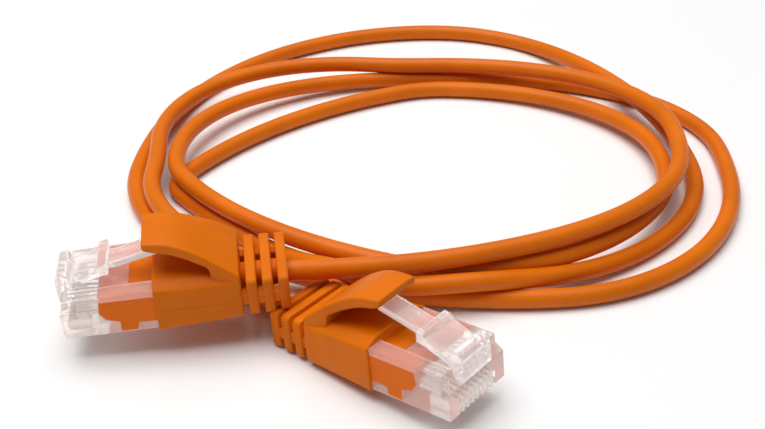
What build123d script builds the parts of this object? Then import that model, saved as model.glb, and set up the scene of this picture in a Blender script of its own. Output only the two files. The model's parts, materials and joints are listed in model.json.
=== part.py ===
from build123d import *
import os

from math import tan, radians

# Ethernet patch cable: two 8-contact modular plugs, each with a moulded boot whose hood covers the
# latch, on one slim round cable that is coiled in four loose turns.  Millimetres.
# Frame: the surface the cable lies on is z = 0; x runs along the longer way across the two plugs.
# Each plug is drawn in its own frame: s is the distance behind the nose, y is sideways, z = 0 is the
# underside of the clear housing (the contact side); the latch is on top.

os.makedirs("parts", exist_ok=True)

# --- housing
PLUG_W = 11.68            # standard modular plug width
PLUG_L = 21.5
RAIL_Z = (6.05, 6.30)     # top of the side rails, front and rear
LATCH_HALF = 3.1          # half width of the latch plate
CHANNEL_Z = 5.5           # floor of the recess under the latch
CAVITY_HALF = 4.95        # half width of the hollow that the boot core fills
NECK_HALF, NECK_Z = 5.25, 5.45   # the slimmer rear part that the boot is moulded round

# --- contacts and wires
WAYS = 8
PITCH = 1.02
BLADE_T = 0.32
SLOT_W = 0.50
WIRE_R = 0.27
CONDUCTOR_R = 0.10
WIRE_Z = 3.52
RING_Y, RING_Z = (0.878, 0.364), (0.364, 0.878)   # where the wires sit at the jacket's mouth

# --- boot and hood
BOOT_S = (12.6, 24.2)
EXIT_S = 30.7             # rear end of the strain relief
CABLE_Z = 2.7             # cable centre above the housing underside
RIB_T = 1.41
RIBS = [(24.96, 5.62, -0.16, 5.70), (27.13, 5.58, -0.16, 5.65), (29.29, 5.50, -0.10, 5.60)]
# each rib: s of its front, half width, underside, top
HOOD_AXIS = (21.3, 7.9)   # s, z of the hood's living hinge
LATCH_AXIS = (1.9, 6.1)   # s, z of the latch's living hinge

# --- cable
CABLE_R = 1.45
JACKET_S = 14.5           # the jacket starts here, inside the boot
COIL_TOP = 9.0

# --- where the two plugs lie
PLUG_A = Pos(-28.66, 5.92, 4.24) * Rot(0, 0, 187.18) * Rot(0, 3.44, 0) * Rot(-3.0, 0, 0)
PLUG_B = Pos(26.83, -11.55, 3.605) * Rot(0, 0, -39.43) * Rot(0, -6.44, 0)


def slab(points, half):
    """A side profile of (s, z) points, drawn out to both sides."""
    face = make_face(Polyline(*[(-s, 0, z) for s, z in points], close=True))
    return extrude(face, amount=half, dir=(0, 1, 0), both=True)


def block(s0, s1, y0, y1, z0, z1):
    return Pos(-(s0 + s1) / 2, (y0 + y1) / 2, (z0 + z1) / 2) * Box(s1 - s0, y1 - y0, z1 - z0)


def rod(s0, s1, radius, z):
    return Pos(-(s0 + s1) / 2, 0, z) * Rot(0, 90, 0) * Cylinder(radius, s1 - s0)


def section(s, outline):
    return make_face(Polyline(*[(-s, y, z) for y, z in outline], close=True))


def plan(points, z0, z1):
    """A symmetric plan outline of (s, half width) points, as a tall cutter."""
    right = [(-s, w) for s, w in points]
    left = [(-s, -w) for s, w in reversed(points)]
    return extrude(Pos(0, 0, z0) * make_face(Polyline(*right, *left, close=True)), amount=z1 - z0)


def swept(path, radius):
    return sweep(Plane(origin=path @ 0, z_dir=path % 0) * Circle(radius), path=path)


def wire_path(i):
    """Straight through the load bar, then in to the ring of wires at the jacket's mouth."""
    y = (i - (WAYS - 1) / 2) * PITCH
    k = (3 - i) // 2 if i < 4 else (i - 4) // 2      # 1, 1, 0, 0, 0, 0, 1, 1
    side = -1 if i < 4 else 1
    up = 1 if i % 2 == 0 else -1
    ring_y = side * (RING_Y[0] if k else RING_Y[1])
    ring_z = CABLE_Z + up * (RING_Z[0] if k else RING_Z[1])
    return FilletPolyline((-1.75, y, WIRE_Z), (-6.0, y, WIRE_Z), (-13.3, ring_y, ring_z),
                          (-JACKET_S, ring_y, ring_z), radius=2.0)


def contact():
    """One blade: rounded contact edge at the nose, two teeth that pierce the insulation."""
    return slab([(0.50, 1.60), (0.50, 0.90), (0.75, 0.50), (1.20, 0.35), (3.40, 0.35), (3.60, 0.60),
                 (3.60, 2.20), (3.30, 3.46), (3.00, 2.90), (2.60, 2.90), (2.30, 3.46), (2.00, 2.20),
                 (0.90, 2.20)], BLADE_T / 2)


def boot_core():
    """The moulded fill inside the housing, with the two notches seen from the side."""
    return slab([(5.2, 3.4), (5.2, 4.4), (6.0, 5.1), (PLUG_L, 5.1), (PLUG_L, 0.5), (12.6, 0.5),
                 (12.6, 1.05), (10.6, 1.05), (10.6, 0.3), (7.9, 0.3), (7.9, 1.3), (6.6, 1.3)],
                CAVITY_HALF)


def housing():
    body = slab([(0, 0), (0, 4.0), (1.2, 4.8), (1.25, RAIL_Z[0]), (BOOT_S[0], RAIL_Z[1]),
                 (BOOT_S[0], 0)], PLUG_W / 2)
    body += slab([(BOOT_S[0] - 1, 0.2), (BOOT_S[0] - 1, NECK_Z), (PLUG_L, NECK_Z), (PLUG_L, 0.2)],
                 NECK_HALF)
    body -= block(1.25, 9.3, -3.4, 3.4, CHANNEL_Z, 9)
    root = slab([(-0.25, 4.0), (-0.25, 7.4), (0.0, 8.0), (0.5, 8.3), (1.2, 8.3), (1.8, 7.2),
                 (1.8, 4.0)], LATCH_HALF)
    return body + root


def latch():
    """Wide plate with the catch shoulder, then the narrow lever that runs under the hood."""
    plate = slab([(1.95, 6.15), (1.95, 7.15), (5.5, 8.5), (5.9, 9.2), (6.95, 9.2), (6.95, 7.75),
                  (5.5, 7.4)], LATCH_HALF)
    lever = slab([(6.5, 7.65), (6.5, 8.4), (7.7, 8.7), (13.0, 10.1), (14.2, 10.35), (14.2, 9.3),
                  (13.0, 9.05), (7.7, 7.75)], 1.7)
    return plate + lever


def hood():
    top = [(12.0, 12.46), (15.0, 12.1), (17.2, 11.4), (19.4, 10.3), (21.2, 9.2)]
    under = [(21.2, 7.9), (20.9, 7.9), (19.2, 8.7), (17.5, 9.6), (15.0, 10.75), (12.0, 11.39)]
    widths = [(12.0, 3.79), (15.0, 4.0), (17.3, 4.3), (20.0, 4.8), (21.3, 5.2)]
    return slab(top + under, 5.4) & plan(widths, 7, 13)


def boot():
    front = [(-5.7, -0.46), (5.7, -0.46), (6.15, -0.01), (6.15, 6.2), (4.4, 7.12), (-4.4, 7.12),
             (-6.15, 6.2), (-6.15, -0.01)]
    rear = [(-5.3, -0.16), (5.3, -0.16), (5.75, 0.29), (5.75, 5.6), (4.3, 6.45), (-4.3, 6.45),
            (-5.75, 5.6), (-5.75, 0.29)]
    shell = loft([section(BOOT_S[0], front), section(BOOT_S[1], rear)], ruled=True)
    relief = rod(BOOT_S[1] - 0.5, EXIT_S, 2.1, CABLE_Z)
    for y in (-4.2, 4.2):                                # the spine along each side
        relief += block(BOOT_S[1] - 0.5, EXIT_S - 0.1, y - 0.8, y + 0.8, 1.62, 3.23)
    for s, half, low, top in RIBS:
        rib = Plane(origin=(-s, 0, (low + top) / 2), x_dir=(0, 1, 0), z_dir=(-1, 0, 0))
        relief += extrude(rib * RectangleRounded(2 * half, top - low, 0.9), amount=RIB_T)
    base = slab([(21.35, 6.0), (21.35, 9.1), (22.0, 8.0), (24.2, 6.4), (24.2, 6.0)], 5.3)
    tongue = block(9.5, 12.7, -3.2, 3.2, 6.25, 6.6)
    return shell + relief + base + tongue


def plug():
    """Every piece of one plug, in the plug's own frame."""
    outer = housing()
    core = boot_core()
    jacket = rod(JACKET_S, EXIT_S + 1, CABLE_R, CABLE_Z)
    blades = [Pos(0, (i - (WAYS - 1) / 2) * PITCH, 0) * contact() for i in range(WAYS)]
    cores = [swept(wire_path(i), CONDUCTOR_R) for i in range(WAYS)]
    sleeves = [swept(wire_path(i), WIRE_R) for i in range(WAYS)]
    load_bar = block(2.0, 5.1, -4.5, 4.5, 2.95, 4.15)
    shell = outer - core - block(1.6, 5.2, -4.5, 4.5, 2.95, 4.15)
    for i in range(WAYS):
        y = (i - (WAYS - 1) / 2) * PITCH
        shell -= block(-0.5, 3.9, y - SLOT_W / 2, y + SLOT_W / 2, -1, 2.0)
    for i in range(WAYS):
        shell = shell - blades[i] - sleeves[i]
        load_bar = load_bar - blades[i] - sleeves[i]
        core = core - sleeves[i]
    parts = {"housing": shell, "latch": latch(), "load_bar": load_bar}
    for i in range(WAYS):
        parts[f"contact_{i + 1}"] = blades[i] - cores[i]
    for i in range(WAYS):
        parts[f"wire_{i + 1}"] = sleeves[i] - cores[i] - blades[i]
    parts["conductors"] = Compound(children=[c.solid() for c in cores])
    parts["boot_core"] = core - jacket
    parts["boot"] = boot() - outer - jacket
    parts["hood"] = hood()
    return parts


def plug_point(place, s):
    """A point on the cable's centre line, s behind the nose of a plug."""
    return (place * Pos(-s, 0, CABLE_Z)).position


def cable_tube(points, name):
    """A tube of straight runs joined by the largest tangent arcs that they allow."""
    points = [Vector(*p) for p in points]
    runs = [b - a for a, b in zip(points, points[1:])]
    radii = []
    for a, b in zip(runs, runs[1:]):
        turn = a.get_angle(b)
        radii.append(0.45 * min(a.length, b.length) / tan(radians(turn / 2)))
    path = FilletPolyline(*points, radius=radii)
    tube = swept(path, CABLE_R)
    print(name, "radii", [round(r, 1) for r in radii],
          "volume / section x length", round(tube.volume / (3.14159265 * CABLE_R ** 2 * path.length), 4))
    return tube


def loop(points, radius):
    flat = make_face(Polyline(*points, close=True))
    return fillet(flat.vertices(), radius)


# --- the cable: a tail out of each boot, and the closed outer shape of the coiled turns
tail_a = cable_tube([plug_point(PLUG_A, JACKET_S), plug_point(PLUG_A, 34.0), (22.6, 15.3, 7.5)],
                    "tail a")
tail_b = cable_tube([plug_point(PLUG_B, JACKET_S), plug_point(PLUG_B, 36.0), (-16.2, 27.6, 1.5)],
                    "tail b")

COIL_OUTER = [(-29.3, 52.7), (-27.3, 37.7), (-19.3, 24.7), (-6.3, 19.9), (5.7, 17.9), (13.7, 14.2),
              (23.7, 10.7), (38.7, 10.2), (58.7, 17.7), (70.7, 32.7), (75.7, 52.7), (71.7, 69.7),
              (60.7, 92.7), (38.7, 109.2), (23.7, 111.2), (3.7, 104.7), (-16.3, 87.7), (-28.3, 70.7)]
COIL_INNER = [(-16.3, 50.7), (-12.3, 39.7), (0.7, 29.7), (16.7, 23.2), (31.7, 21.7), (45.7, 25.7),
              (56.7, 36.7), (59.7, 50.7), (55.7, 63.7), (43.7, 74.7), (25.7, 76.7), (5.7, 71.7),
              (-8.3, 62.7)]
coil = extrude(loop(COIL_OUTER, 9) - loop(COIL_INNER, 7), amount=COIL_TOP)

nodes = {"cable_tail_a": tail_a, "cable_tail_b": tail_b, "cable_coil": coil}
pieces = plug()
for letter, place in (("a", PLUG_A), ("b", PLUG_B)):
    for name, shape in pieces.items():
        nodes[f"plug_{letter}_{name}"] = place * shape

# The soft boots touch behind the plugs: boot a gives way where it lies against boot b.
nodes["plug_a_boot"] = nodes["plug_a_boot"] - nodes["plug_b_boot"]

for name, shape in nodes.items():
    solids = shape.solids()
    whole = solids[0] if len(solids) == 1 else Compound(children=list(solids))
    whole.label = name
    export_step(whole, f"parts/{name}.step")
    print(name, len(solids), "solid(s)", round(whole.volume, 3), "mm3")
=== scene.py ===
"""Ethernet patch cable: two clear modular plugs with moulded orange boots on one slim coiled cable."""
import json
import math

import bmesh
import bpy
from mathutils import Matrix, Vector


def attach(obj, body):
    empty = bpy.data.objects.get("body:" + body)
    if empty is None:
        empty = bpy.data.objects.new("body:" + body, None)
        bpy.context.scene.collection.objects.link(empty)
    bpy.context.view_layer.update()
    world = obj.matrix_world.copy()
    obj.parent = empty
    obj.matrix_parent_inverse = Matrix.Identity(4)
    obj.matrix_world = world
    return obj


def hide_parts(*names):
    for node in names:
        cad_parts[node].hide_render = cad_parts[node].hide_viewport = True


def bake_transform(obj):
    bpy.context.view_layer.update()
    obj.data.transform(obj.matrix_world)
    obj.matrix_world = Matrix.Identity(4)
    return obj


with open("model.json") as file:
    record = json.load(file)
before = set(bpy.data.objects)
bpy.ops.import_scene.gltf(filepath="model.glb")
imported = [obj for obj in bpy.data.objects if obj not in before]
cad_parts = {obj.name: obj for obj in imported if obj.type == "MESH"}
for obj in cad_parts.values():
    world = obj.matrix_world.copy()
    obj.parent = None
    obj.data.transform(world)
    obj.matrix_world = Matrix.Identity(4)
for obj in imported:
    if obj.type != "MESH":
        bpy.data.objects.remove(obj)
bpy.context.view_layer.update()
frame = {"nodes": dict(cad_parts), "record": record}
MM = 0.001
LETTERS = ("a", "b")
CABLE_R = 1.45                        # mm, as in the CAD
PLUG_HALF = 5.84                      # half of the standard modular plug's width
WAYS, PITCH = 8, 1.02                 # contacts in a plug, and the step between them


# ---------------------------------------------------------------- materials
def material(name, color, rough, **more):
    m = bpy.data.materials.new(name)
    m.use_nodes = True
    b = m.node_tree.nodes["Principled BSDF"]
    b.inputs["Base Color"].default_value = (*color, 1)
    b.inputs["Roughness"].default_value = rough
    for key, value in more.items():
        b.inputs[key.replace("_", " ")].default_value = value
    return m


def speckle(m, color_a, color_b, scale, rough_lo, rough_hi, bump, bump_scale, distance=0.00005):
    """Colour mottling, uneven gloss and a fine moulded grain, all from noise in object space."""
    t = m.node_tree
    b = t.nodes["Principled BSDF"]
    coord = t.nodes.new("ShaderNodeTexCoord")
    wide = t.nodes.new("ShaderNodeTexNoise")
    wide.inputs["Scale"].default_value = scale
    wide.inputs["Detail"].default_value = 4
    ramp = t.nodes.new("ShaderNodeValToRGB")
    ramp.color_ramp.elements[0].position = 0.3
    ramp.color_ramp.elements[1].position = 0.72
    ramp.color_ramp.elements[0].color = (*color_a, 1)
    ramp.color_ramp.elements[1].color = (*color_b, 1)
    gloss = t.nodes.new("ShaderNodeMapRange")
    gloss.inputs["To Min"].default_value = rough_lo
    gloss.inputs["To Max"].default_value = rough_hi
    fine = t.nodes.new("ShaderNodeTexNoise")
    fine.inputs["Scale"].default_value = bump_scale
    fine.inputs["Detail"].default_value = 3
    bump_node = t.nodes.new("ShaderNodeBump")
    bump_node.inputs["Strength"].default_value = bump
    bump_node.inputs["Distance"].default_value = distance
    t.links.new(coord.outputs["Object"], wide.inputs["Vector"])
    t.links.new(coord.outputs["Object"], fine.inputs["Vector"])
    t.links.new(wide.outputs["Fac"], ramp.inputs["Fac"])
    t.links.new(ramp.outputs["Color"], b.inputs["Base Color"])
    t.links.new(wide.outputs["Fac"], gloss.inputs["Value"])
    t.links.new(gloss.outputs["Result"], b.inputs["Roughness"])
    t.links.new(fine.outputs["Fac"], bump_node.inputs["Height"])
    t.links.new(bump_node.outputs["Normal"], b.inputs["Normal"])
    return m


JACKET = speckle(material("jacket_pvc", (0.76, 0.16, 0.012), 0.4, Specular_IOR_Level=0.2),
                 (0.66, 0.143, 0.0008), (0.78, 0.173, 0.0015), 90, 0.30, 0.44, 0.25, 900)
BOOT = speckle(material("boot_pvc", (0.78, 0.18, 0.018), 0.45, Specular_IOR_Level=0.12),
               (0.67, 0.146, 0.0008), (0.77, 0.172, 0.0015), 140, 0.36, 0.52, 0.22, 1600)
CORE = speckle(material("core_pvc", (0.78, 0.17, 0.015), 0.5, Specular_IOR_Level=0.15),
               (0.78, 0.150, 0.0006), (0.88, 0.172, 0.001), 160, 0.4, 0.6, 0.3, 1200)
# The clear plastic carries a faint pinkish-white emission: a painted glow standing in for the light the
# clear bodies gather from the bright white surroundings.
CLEAR_WITH_PAINTED_GLOW = speckle(material("polycarbonate", (0.96, 0.92, 0.91), 0.1, Transmission_Weight=0.87, IOR=1.5,
                         Emission_Color=(1.0, 0.93, 0.91, 1), Emission_Strength=0.09),
                (0.95, 0.90, 0.885), (0.985, 0.945, 0.935), 260, 0.03, 0.10, 0.06, 700)
GOLD = speckle(material("gold_plate", (0.82, 0.72, 0.62), 0.35, Metallic=0.5),
               (0.76, 0.66, 0.56), (0.88, 0.80, 0.71), 900, 0.28, 0.42, 0.1, 4000, 0.00001)
COPPER = speckle(material("copper", (0.74, 0.48, 0.34), 0.35, Metallic=0.8),
                 (0.66, 0.42, 0.30), (0.78, 0.54, 0.40), 1200, 0.3, 0.45, 0.1, 5000, 0.00001)
WIRES = {
    "wire_white_orange": (0.80, 0.64, 0.54), "wire_orange": (0.66, 0.36, 0.22),
    "wire_white_green": (0.66, 0.72, 0.64), "wire_blue": (0.30, 0.32, 0.44),
    "wire_white_blue": (0.66, 0.67, 0.74), "wire_green": (0.30, 0.42, 0.32),
    "wire_white_brown": (0.70, 0.60, 0.53), "wire_brown": (0.36, 0.25, 0.20)}
WIRE_MATS = {k: speckle(material(k, c, 0.4), tuple(0.85 * v for v in c), c, 1500, 0.32, 0.5, 0.1, 4000,
                        0.00001) for k, c in WIRES.items()}
SLOT_OF = {s["node"]: s["material_slot"] for s in frame["record"]["subparts"]}
MATS = {"cable_jacket": JACKET, "boot_pvc": BOOT, "clear_polycarbonate": CLEAR_WITH_PAINTED_GLOW,
        "gold_contact": GOLD, "copper": COPPER, **WIRE_MATS}

for name, obj in frame["nodes"].items():
    mat = CORE if name.endswith("boot_core") else MATS[SLOT_OF[name]]
    obj.data.materials.clear()
    obj.data.materials.append(mat)


# ---------------------------------------------------------------- the cable
TURN_POINTS = 6                       # per quarter turn
# Each turn's crossings, in mm: front, right, back, left. pull is how far each quarter is drawn in
# towards its chord, and a negative pull bulges it outwards.
TURNS = [
    dict(F=(4, 12, 7.5), R=(65, 49, 7.5), B=(18, 86, 4.5), L=(-23, 49, 4.5),
         pull=(0.0, -0.25, -0.5, -0.25), hump=0.6),
    dict(F=(38, 12.5, 1.5), R=(74.5, 53, 1.5), B=(30, 86, 1.5), L=(-20, 46, 4.5),
         pull=(0.0, -0.25, -0.25, 0.5), hump=0.0),
    dict(F=(22, 15, 4.7), R=(63, 50, 3.2), B=(23, 82, 1.5), L=(-20.5, 45, 1.5),
         pull=(0.0, -0.1, 0.5, 0.75), hump=0.0),
    dict(F=(16, 12, 1.5), R=(68.5, 51, 1.5), B=(26, 110, 1.5), L=(-27, 52, 1.5),
         pull=(0.0, 0.0, 0.0, 0.0), hump=0.0),
]
# Where a strand rides over another: turn, quarter, point -> how far it moves, x, y, z.
LIFTS = {(0, 0, 0): (1.6, -1.5, 0.6), (0, 0, 1): (0, -0.4, 0.0), (2, 0, 3): (0, 0, 0.4),
         (2, 0, 4): (0, 0, 0.6), (2, 3, 4): (0, 0, 0.6), (2, 3, 5): (0, -1.2, 3.5),
         (3, 0, 0): (0, -1.4, 3.3), (3, 0, 1): (0, -1.2, 3.5), (3, 0, 2): (0, 0, 0.9),
         (3, 1, 1): (-0.8, -3.3, 1.6), (3, 1, 2): (-1.4, -5.6, 2.8), (3, 1, 3): (-0.8, -3.3, 1.6)}
# The tails, from the plugs to the first and last turn.
TAIL_A = [(-14.44, 7.57, 7.8), (0.9, 9.5, 8.7)]
TAIL_B = [(-27, 52, 1.5), (-26.3, 43.2, 1.5), (-23.0, 35.2, 1.5), (-17.7, 27.35, 1.5),
          (-10.7, 19.65, 1.5), (-5.2, 14.55, 1.7), (-1.0, 11.35, 2.3), (3.1, 8.0, 2.87),
          (15.4, -2.2, 4.68)]


def quarter(a, b, x_first, pull, hump, turn, q):
    out = []
    for k in range(TURN_POINTS):
        u = k / TURN_POINTS
        t = math.pi / 2 * u
        fx, fy = (math.sin(t), 1 - math.cos(t)) if x_first else (1 - math.cos(t), math.sin(t))
        x = a[0] + (b[0] - a[0]) * (fx + (u - fx) * pull)
        y = a[1] + (b[1] - a[1]) * (fy + (u - fy) * pull)
        z = a[2] + (b[2] - a[2]) * (1 - math.cos(math.pi * u)) / 2
        z += hump * math.sin(math.pi * u) ** 2
        dx, dy, dz = LIFTS.get((turn, q, k), (0, 0, 0))
        out.append((x + dx, y + dy, z + dz))
    return out


def cable_route():
    points = list(TAIL_A)
    for i, t in enumerate(TURNS):
        points += quarter(t["F"], t["R"], True, t["pull"][0], 0, i, 0)
        points += quarter(t["R"], t["B"], False, t["pull"][1], 0, i, 1)
        points += quarter(t["B"], t["L"], True, t["pull"][2], 0, i, 2)
        if i + 1 < len(TURNS):
            points += quarter(t["L"], TURNS[i + 1]["F"], False, t["pull"][3], t["hump"], i, 3)
    return points + TAIL_B


def spline_curve(name, points, radius):
    c = bpy.data.curves.new(name, "CURVE")
    c.dimensions = "3D"
    c.bevel_depth = radius
    c.bevel_resolution = 8
    c.resolution_u = 10
    c.use_fill_caps = True
    s = c.splines.new("NURBS")
    s.points.add(len(points) - 1)
    for p, q in zip(s.points, points):
        p.co = (q[0] * MM, q[1] * MM, q[2] * MM, 1)
    s.order_u = 3
    s.use_endpoint_u = True
    o = bpy.data.objects.new(name, c)
    bpy.context.scene.collection.objects.link(o)
    return o


cable = spline_curve("cable", cable_route(), CABLE_R * MM)
cable.data.materials.append(JACKET)
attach(cable, "cable_and_plugs")
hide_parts("cable_tail_a", "cable_tail_b", "cable_coil")


# ---------------------------------------------------------------- the plugs
# Plug shapes are drawn in the plug's own frame, as in the CAD: s mm behind the nose, y sideways,
# z up from the underside of the clear housing.
PLACE = {
    "a": Matrix.Translation((-28.66, 5.92, 4.24)) @ Matrix.Rotation(math.radians(187.18), 4, "Z")
    @ Matrix.Rotation(math.radians(3.44), 4, "Y") @ Matrix.Rotation(math.radians(-3.0), 4, "X"),
    "b": Matrix.Translation((26.83, -11.55, 3.605)) @ Matrix.Rotation(math.radians(-39.43), 4, "Z")
    @ Matrix.Rotation(math.radians(-6.44), 4, "Y")}


def spot(letter, s, y, z):
    """A point of a plug, in metres in the frame shared with the CAD."""
    return PLACE[letter] @ Vector((-s, y, z)) * MM


def smooth_at(table, s):
    """Values of a table of (s, v, v, ...) rows at s, along a Catmull-Rom curve."""
    if s <= table[0][0]:
        return table[0][1:]
    if s >= table[-1][0]:
        return table[-1][1:]
    i = max(k for k in range(len(table) - 1) if table[k][0] <= s)
    p1, p2 = table[i], table[i + 1]
    p0 = table[i - 1] if i else p1
    p3 = table[i + 2] if i + 2 < len(table) else p2
    u = (s - p1[0]) / (p2[0] - p1[0])
    out = []
    for k in range(1, len(p1)):
        m1 = (p2[k] - p0[k]) / (p2[0] - p0[0]) * (p2[0] - p1[0])
        m2 = (p3[k] - p1[k]) / (p3[0] - p1[0]) * (p2[0] - p1[0])
        out.append((2 * u ** 3 - 3 * u ** 2 + 1) * p1[k] + (u ** 3 - 2 * u ** 2 + u) * m1
                   + (3 * u ** 2 - 2 * u ** 3) * p2[k] + (u ** 3 - u ** 2) * m2)
    return out


def rounded(half, z0, z1, r, crown=0.0, steps=4, across=6):
    """A closed ring of (y, z): a rounded rectangle whose top and bottom bow up by crown."""
    r = min(r, half * 0.98, (z1 - z0) * 0.49)
    ring = []
    for cy, cz, a0 in ((half - r, z1 - r, 0), (r - half, z1 - r, 90),
                       (r - half, z0 + r, 180), (half - r, z0 + r, 270)):
        for k in range(steps + 1):
            a = math.radians(a0 + 90 * k / steps)
            ring.append((cy + r * math.cos(a), cz + r * math.sin(a)))
        if a0 in (0, 180):                       # points along the flat, so that it can bow
            sign = -1 if a0 == 0 else 1
            z = z1 if a0 == 0 else z0
            for k in range(1, across):
                ring.append((sign * (half - r) * (2 * k / across - 1), z))
    return [(y, z + crown * (1 - (y / half) ** 2)) for y, z in ring]


def skin(name, letter, rings, mat, bevel=0.0):
    """A closed skin over rings, each (s, [(y, z), ...]) with the same number of points."""
    bm = bmesh.new()
    rows = [[bm.verts.new(spot(letter, s, y, z)) for y, z in ring] for s, ring in rings]
    n = len(rows[0])
    for a, b in zip(rows, rows[1:]):
        for k in range(n):
            bm.faces.new((a[k], a[(k + 1) % n], b[(k + 1) % n], b[k]))
    bm.faces.new(rows[0][::-1])
    bm.faces.new(rows[-1])
    bmesh.ops.recalc_face_normals(bm, faces=bm.faces)
    return finish_mesh(name, bm, mat, bevel)


def finish_mesh(name, bm, mat, bevel=0.0, angle=35):
    me = bpy.data.meshes.new(name)
    bm.to_mesh(me)
    bm.free()
    o = bpy.data.objects.new(name, me)
    bpy.context.scene.collection.objects.link(o)
    me.materials.append(mat)
    if bevel:
        m = o.modifiers.new("edge", "BEVEL")
        m.width = bevel * MM
        m.segments = 3
        m.limit_method = "ANGLE"
        m.angle_limit = math.radians(angle)
        m.harden_normals = True
    smooth_by_angle(me, 40)
    return o


def smooth_by_angle(me, degrees):
    for p in me.polygons:
        p.use_smooth = True
    bm = bmesh.new()
    bm.from_mesh(me)
    for e in bm.edges:
        if len(e.link_faces) == 2 and e.calc_face_angle(0) > math.radians(degrees):
            e.smooth = False
    bm.to_mesh(me)
    bm.free()


def tidy_rings(rings):
    """Narrow the first and last ring a little, which rounds the ends."""
    def shrink(ring, d):
        cy = sum(p[0] for p in ring) / len(ring)
        cz = (max(p[1] for p in ring) + min(p[1] for p in ring)) / 2
        hy = max(abs(p[0] - cy) for p in ring)
        hz = max(abs(p[1] - cz) for p in ring)
        return [(cy + (y - cy) * (hy - d) / hy, cz + (z - cz) * (hz - d) / hz) for y, z in ring]
    s0, r0 = rings[0]
    s1, r1 = rings[-1]
    e = 0.14
    return ([(s0, shrink(r0, e)), (s0 + e * 0.35, shrink(r0, e * 0.4)), (s0 + e, r0)] + rings[1:-1]
            + [(s1 - e, r1), (s1 - e * 0.35, shrink(r1, e * 0.4)), (s1, shrink(r1, e))])


def boot_ring(s):
    """The boot's section: flat sides with a fine mould ledge, a bevelled shoulder, a flat deck."""
    u = (s - 12.6) / 11.6
    lip = 0.08 * max(0.0, 1 - abs(s - 12.9) / 0.45)
    half = 6.15 - 0.40 * u + lip
    low = -0.46 + 0.30 * u
    side = 6.2 - 0.6 * u + lip
    deck = 7.12 - 0.67 * u + lip
    seam = 3.06 - 0.62 * u
    right = []
    ledge = half + 0.07                           # the lower mould half stands a little proud
    for a in range(5):                            # lower corner
        t = math.radians(-90 + 90 * a / 4)
        right.append((ledge - 0.7 + 0.7 * math.cos(t), low + 0.7 + 0.7 * math.sin(t)))
    right += [(ledge, seam - 0.13), (ledge, seam - 0.03), (ledge - 0.03, seam + 0.02),
              (half, seam + 0.06), (half, side - 0.25), (half - 0.07, side - 0.06),
              (half - 0.24, side + 0.12), (4.75, deck - 0.22), (4.45, deck - 0.08), (4.1, deck)]
    return right + [(0.0, deck + 0.05)] + [(-y, z) for y, z in reversed(right)]


HOOD_TOP = [(12.0, 12.46), (13.5, 12.4), (15.0, 12.22), (16.5, 11.8), (18.0, 11.1), (20.0, 9.95),
            (21.5, 8.9), (22.8, 7.95), (24.2, 6.9)]
HOOD_UNDER = [(12.0, 11.3), (13.3, 10.85), (15.5, 10.35), (17.6, 9.5), (19.0, 8.75)]
HOOD_HALF = [(12.0, 3.75), (15.0, 4.0), (17.3, 4.35), (20.0, 4.85), (21.3, 5.2), (24.2, 5.6)]


def hood_rings():
    rings = []
    for k in range(0, 25):
        s = 12.0 + 7.0 * k / 24
        rings.append((s, rounded(smooth_at(HOOD_HALF, s)[0], smooth_at(HOOD_UNDER, s)[0],
                                 smooth_at(HOOD_TOP, s)[0] - 0.12, 0.34, 0.12)))
    for s, low in ((19.3, 8.6), (19.7, 8.4), (20.05, 8.15), (20.3, 7.85), (20.42, 7.5), (20.44, 7.1),
                   (20.46, 6.4), (20.7, 5.7), (21.4, 5.4), (22.8, 5.2), (23.4, 5.1), (24.15, 5.0)):
        rings.append((s, rounded(smooth_at(HOOD_HALF, s)[0], low, smooth_at(HOOD_TOP, s)[0] - 0.12,
                                 0.34, 0.12)))
    return tidy_rings(rings)


# front, rear, half width, underside and top of each rib of the strain relief
RIBS = [(24.96, 26.37, 5.66, -0.16, 5.72), (27.13, 28.54, 5.62, -0.16, 5.68),
        (29.3, 30.7, 5.54, -0.1, 5.62)]


def make_boot(letter):
    pieces = [skin(f"boot_{letter}", letter,
                   tidy_rings([(s, boot_ring(s)) for s in
                               [12.6, 12.9, 13.35] + [14.0 + 10.2 * k / 16 for k in range(17)]]), BOOT)]
    for i, (s0, s1, half, low, top) in enumerate(RIBS):
        ring = rounded(half, low, top, 0.7)
        pieces.append(skin(f"boot_{letter}_rib_{i + 1}", letter,
                           tidy_rings([(s0, ring), ((s0 + s1) / 2, ring), (s1, ring)]), BOOT))
    for side in (-1, 1):
        bar = [(y + side * 4.62, z) for y, z in rounded(0.82, 1.62, 3.23, 0.2)]
        pieces.append(skin(f"boot_{letter}_spine_{'l' if side < 0 else 'r'}", letter,
                           [(24.0, bar), (30.4, bar)], BOOT))
    sleeve = [(1.8 * math.cos(math.tau * k / 32), 2.7 + 1.8 * math.sin(math.tau * k / 32))
              for k in range(32)]
    pieces.append(skin(f"boot_{letter}_sleeve", letter, tidy_rings([(24.0, sleeve), (30.66, sleeve)]),
                       BOOT))
    tongue = rounded(3.3, 5.1, 5.66, 0.12)
    pieces.append(skin(f"boot_{letter}_tongue", letter, tidy_rings([(9.2, tongue), (12.8, tongue)]),
                       BOOT))
    for p in pieces:
        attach(p, "cable_and_plugs")
    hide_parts(f"plug_{letter}_boot")
    hood = skin(f"hood_{letter}", letter, hood_rings(), BOOT)
    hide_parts(f"plug_{letter}_hood")
    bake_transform(hood)


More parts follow.
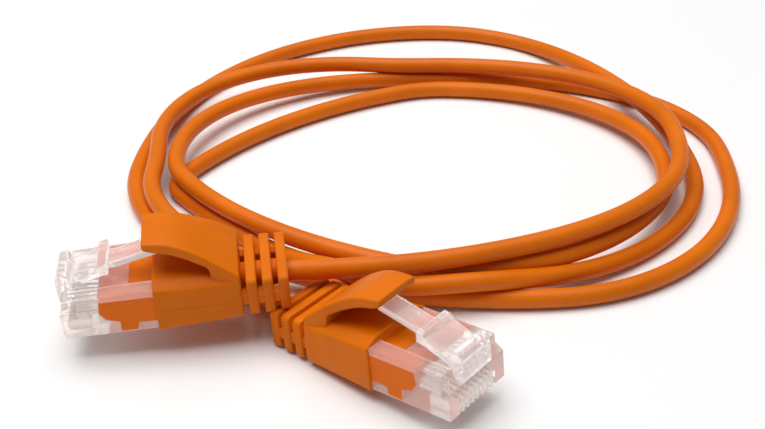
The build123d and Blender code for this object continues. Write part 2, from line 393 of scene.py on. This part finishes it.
# s, half width, bottom, top of the latch, from its root at the nose to the lever under the hood
LATCH = [(-0.25, 3.0, 4.35, 7.2), (-0.1, 3.08, 4.12, 7.75), (0.2, 3.1, 4.05, 8.12),
         (0.6, 3.1, 4.05, 8.3), (1.2, 3.1, 4.05, 8.3), (1.4, 3.1, 4.3, 8.2), (1.6, 3.1, 5.3, 7.6),
         (1.85, 3.1, 6.0, 7.25), (2.3, 3.1, 6.15, 7.2), (3.8, 3.1, 6.75, 7.8), (5.4, 3.1, 7.35, 8.42),
         (5.55, 3.1, 7.4, 8.85), (5.8, 3.1, 7.5, 9.1), (6.5, 3.1, 7.65, 9.3), (6.8, 3.1, 7.7, 9.35),
         (6.95, 2.95, 7.75, 9.1), (7.0, 1.75, 7.8, 8.75), (7.7, 1.7, 7.75, 8.75),
         (10.5, 1.7, 8.45, 9.48), (13.0, 1.7, 9.05, 10.1), (14.2, 1.7, 9.3, 10.35)]


def make_latch(letter):
    rings = [(s, rounded(half, low, high, 0.22)) for s, half, low, high in LATCH]
    o = skin(f"latch_{letter}", letter, tidy_rings(rings), CLEAR_WITH_PAINTED_GLOW)
    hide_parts(f"plug_{letter}_latch")
    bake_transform(o)


def housing_ring(rail, floor, low=0.0):
    right = [(0.0, low), (PLUG_HALF, low), (PLUG_HALF, rail), (3.4, rail), (3.4, floor), (0.0, floor)]
    return right + [(-y, z) for y, z in reversed(right[1:-1])]


def boxes(letter, spans):
    """One mesh of separate boxes, each (s0, s1, y0, y1, z0, z1)."""
    bm = bmesh.new()
    for s0, s1, y0, y1, z0, z1 in spans:
        v = [bm.verts.new(spot(letter, s, y, z)) for s in (s0, s1) for y in (y0, y1) for z in (z0, z1)]
        for f in ((0, 1, 3, 2), (4, 6, 7, 5), (0, 4, 5, 1), (2, 3, 7, 6), (0, 2, 6, 4), (1, 5, 7, 3)):
            bm.faces.new([v[k] for k in f])
    bmesh.ops.recalc_face_normals(bm, faces=bm.faces)
    return bm


def make_housing(letter):
    """The clear body: side rails, nose ledge, recess under the latch, and eight contact slots."""
    rings = [(0.0, housing_ring(4.0, 3.98)), (1.2, housing_ring(4.8, 4.78)),
             (1.25, housing_ring(6.05, 5.3)), (2.0, housing_ring(6.07, 5.5)),
             (13.6, housing_ring(6.28, 5.5))]
    o = skin(f"housing_{letter}", letter, rings, CLEAR_WITH_PAINTED_GLOW, bevel=0.16)
    slots = []
    for i in range(WAYS):
        y = (i - (WAYS - 1) / 2) * PITCH
        slots.append((-1.0, 3.9, y - 0.25, y + 0.25, -1.0, 2.0))
    cutter = finish_mesh("cutter", boxes(letter, slots), CLEAR_WITH_PAINTED_GLOW)
    cut = o.modifiers.new("slots", "BOOLEAN")
    cut.operation, cut.object, cut.solver = "DIFFERENCE", cutter, "EXACT"
    dg = bpy.context.evaluated_depsgraph_get()
    baked = bpy.data.meshes.new_from_object(o.evaluated_get(dg))
    o.modifiers.clear()
    o.data = baked
    bpy.data.objects.remove(cutter)
    smooth_by_angle(baked, 40)
    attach(o, "cable_and_plugs")
    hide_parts(f"plug_{letter}_housing")


# s, z outline of the moulded fill, which reaches the flat sides of the clear body
CORE_SIDE = [(5.3, 5.4), (5.0, 3.5), (5.8, 2.3), (7.6, 1.7), (7.5, 0.12), (9.9, 0.12), (10.2, 1.25),
             (13.6, 1.15), (13.6, 5.4)]


def make_core(letter):
    bm = bmesh.new()
    rows = [[bm.verts.new(spot(letter, s, y, z)) for s, z in CORE_SIDE] for y in (-5.87, 5.87)]
    n = len(CORE_SIDE)
    for k in range(n):
        bm.faces.new((rows[0][k], rows[0][(k + 1) % n], rows[1][(k + 1) % n], rows[1][k]))
    bm.faces.new(rows[0][::-1])
    bm.faces.new(rows[1])
    bmesh.ops.recalc_face_normals(bm, faces=bm.faces)
    o = finish_mesh(f"core_{letter}", bm, CORE, bevel=0.22, angle=20)
    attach(o, "cable_and_plugs")
    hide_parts(f"plug_{letter}_boot_core")


for letter in LETTERS:
    make_boot(letter)
    make_core(letter)
    make_latch(letter)
    make_housing(letter)


# ---------------------------------------------------------------- stage, light, camera
def stage():
    bm = bmesh.new()
    r, back = 2.2, 1.6
    rows = [(-r, 0.0), (back, 0.0)] + [(back + 0.6 * math.sin(a), 0.6 * (1 - math.cos(a)))
                                      for a in [math.pi / 2 * k / 12 for k in range(1, 13)]]
    rows.append((back + 0.6, 2.6))
    ring = [[bm.verts.new((x, y, z)) for x in (-3.0, 3.0)] for y, z in rows]
    for a, b in zip(ring, ring[1:]):
        bm.faces.new((a[0], a[1], b[1], b[0]))
    me = bpy.data.meshes.new("floor")
    bm.to_mesh(me)
    bm.free()
    for p in me.polygons:
        p.use_smooth = True
    o = bpy.data.objects.new("floor", me)
    bpy.context.scene.collection.objects.link(o)
    o.data.materials.append(speckle(material("backdrop", (0.9, 0.9, 0.9), 0.6, Specular_IOR_Level=0.2),
                                    (0.895, 0.895, 0.895), (0.905, 0.905, 0.905), 3, 0.55, 0.65, 0.02, 60))
    return o


stage()


def area_light(name, place, target, size, power):
    light = bpy.data.lights.new(name, "AREA")
    light.shape = "RECTANGLE"
    light.size, light.size_y = size
    light.energy = power
    o = bpy.data.objects.new(name, light)
    o.location = place
    o.rotation_euler = (Vector(target) - Vector(place)).to_track_quat("-Z", "Y").to_euler()
    bpy.context.scene.collection.objects.link(o)


area_light("key", (-0.24, 0.04, 1.2), (0.02, 0.04, 0), (0.95, 0.95), 8.8)
area_light("top_soft", (-0.04, 0.12, 0.60), (0.02, 0.04, 0), (0.8, 0.7), 2.7)
world = bpy.data.worlds.new("studio")
world.use_nodes = True
world.node_tree.nodes["Background"].inputs["Color"].default_value = (1, 1, 1, 1)
world.node_tree.nodes["Background"].inputs["Strength"].default_value = 0.17
bpy.context.scene.world = world
bpy.context.scene.view_settings.view_transform = "Standard"

cam_data = bpy.data.cameras.new("camera")
cam_data.lens = 56.1
cam_data.sensor_width = 36.0
cam_data.shift_x = 0.0095
cam_data.shift_y = -0.0041
cam = bpy.data.objects.new("camera", cam_data)
cam.location = (0.01380, -0.12735, 0.10303)
cam.rotation_euler = (math.radians(58.25), 0, 0)
bpy.context.scene.collection.objects.link(cam)
bpy.context.scene.camera = cam
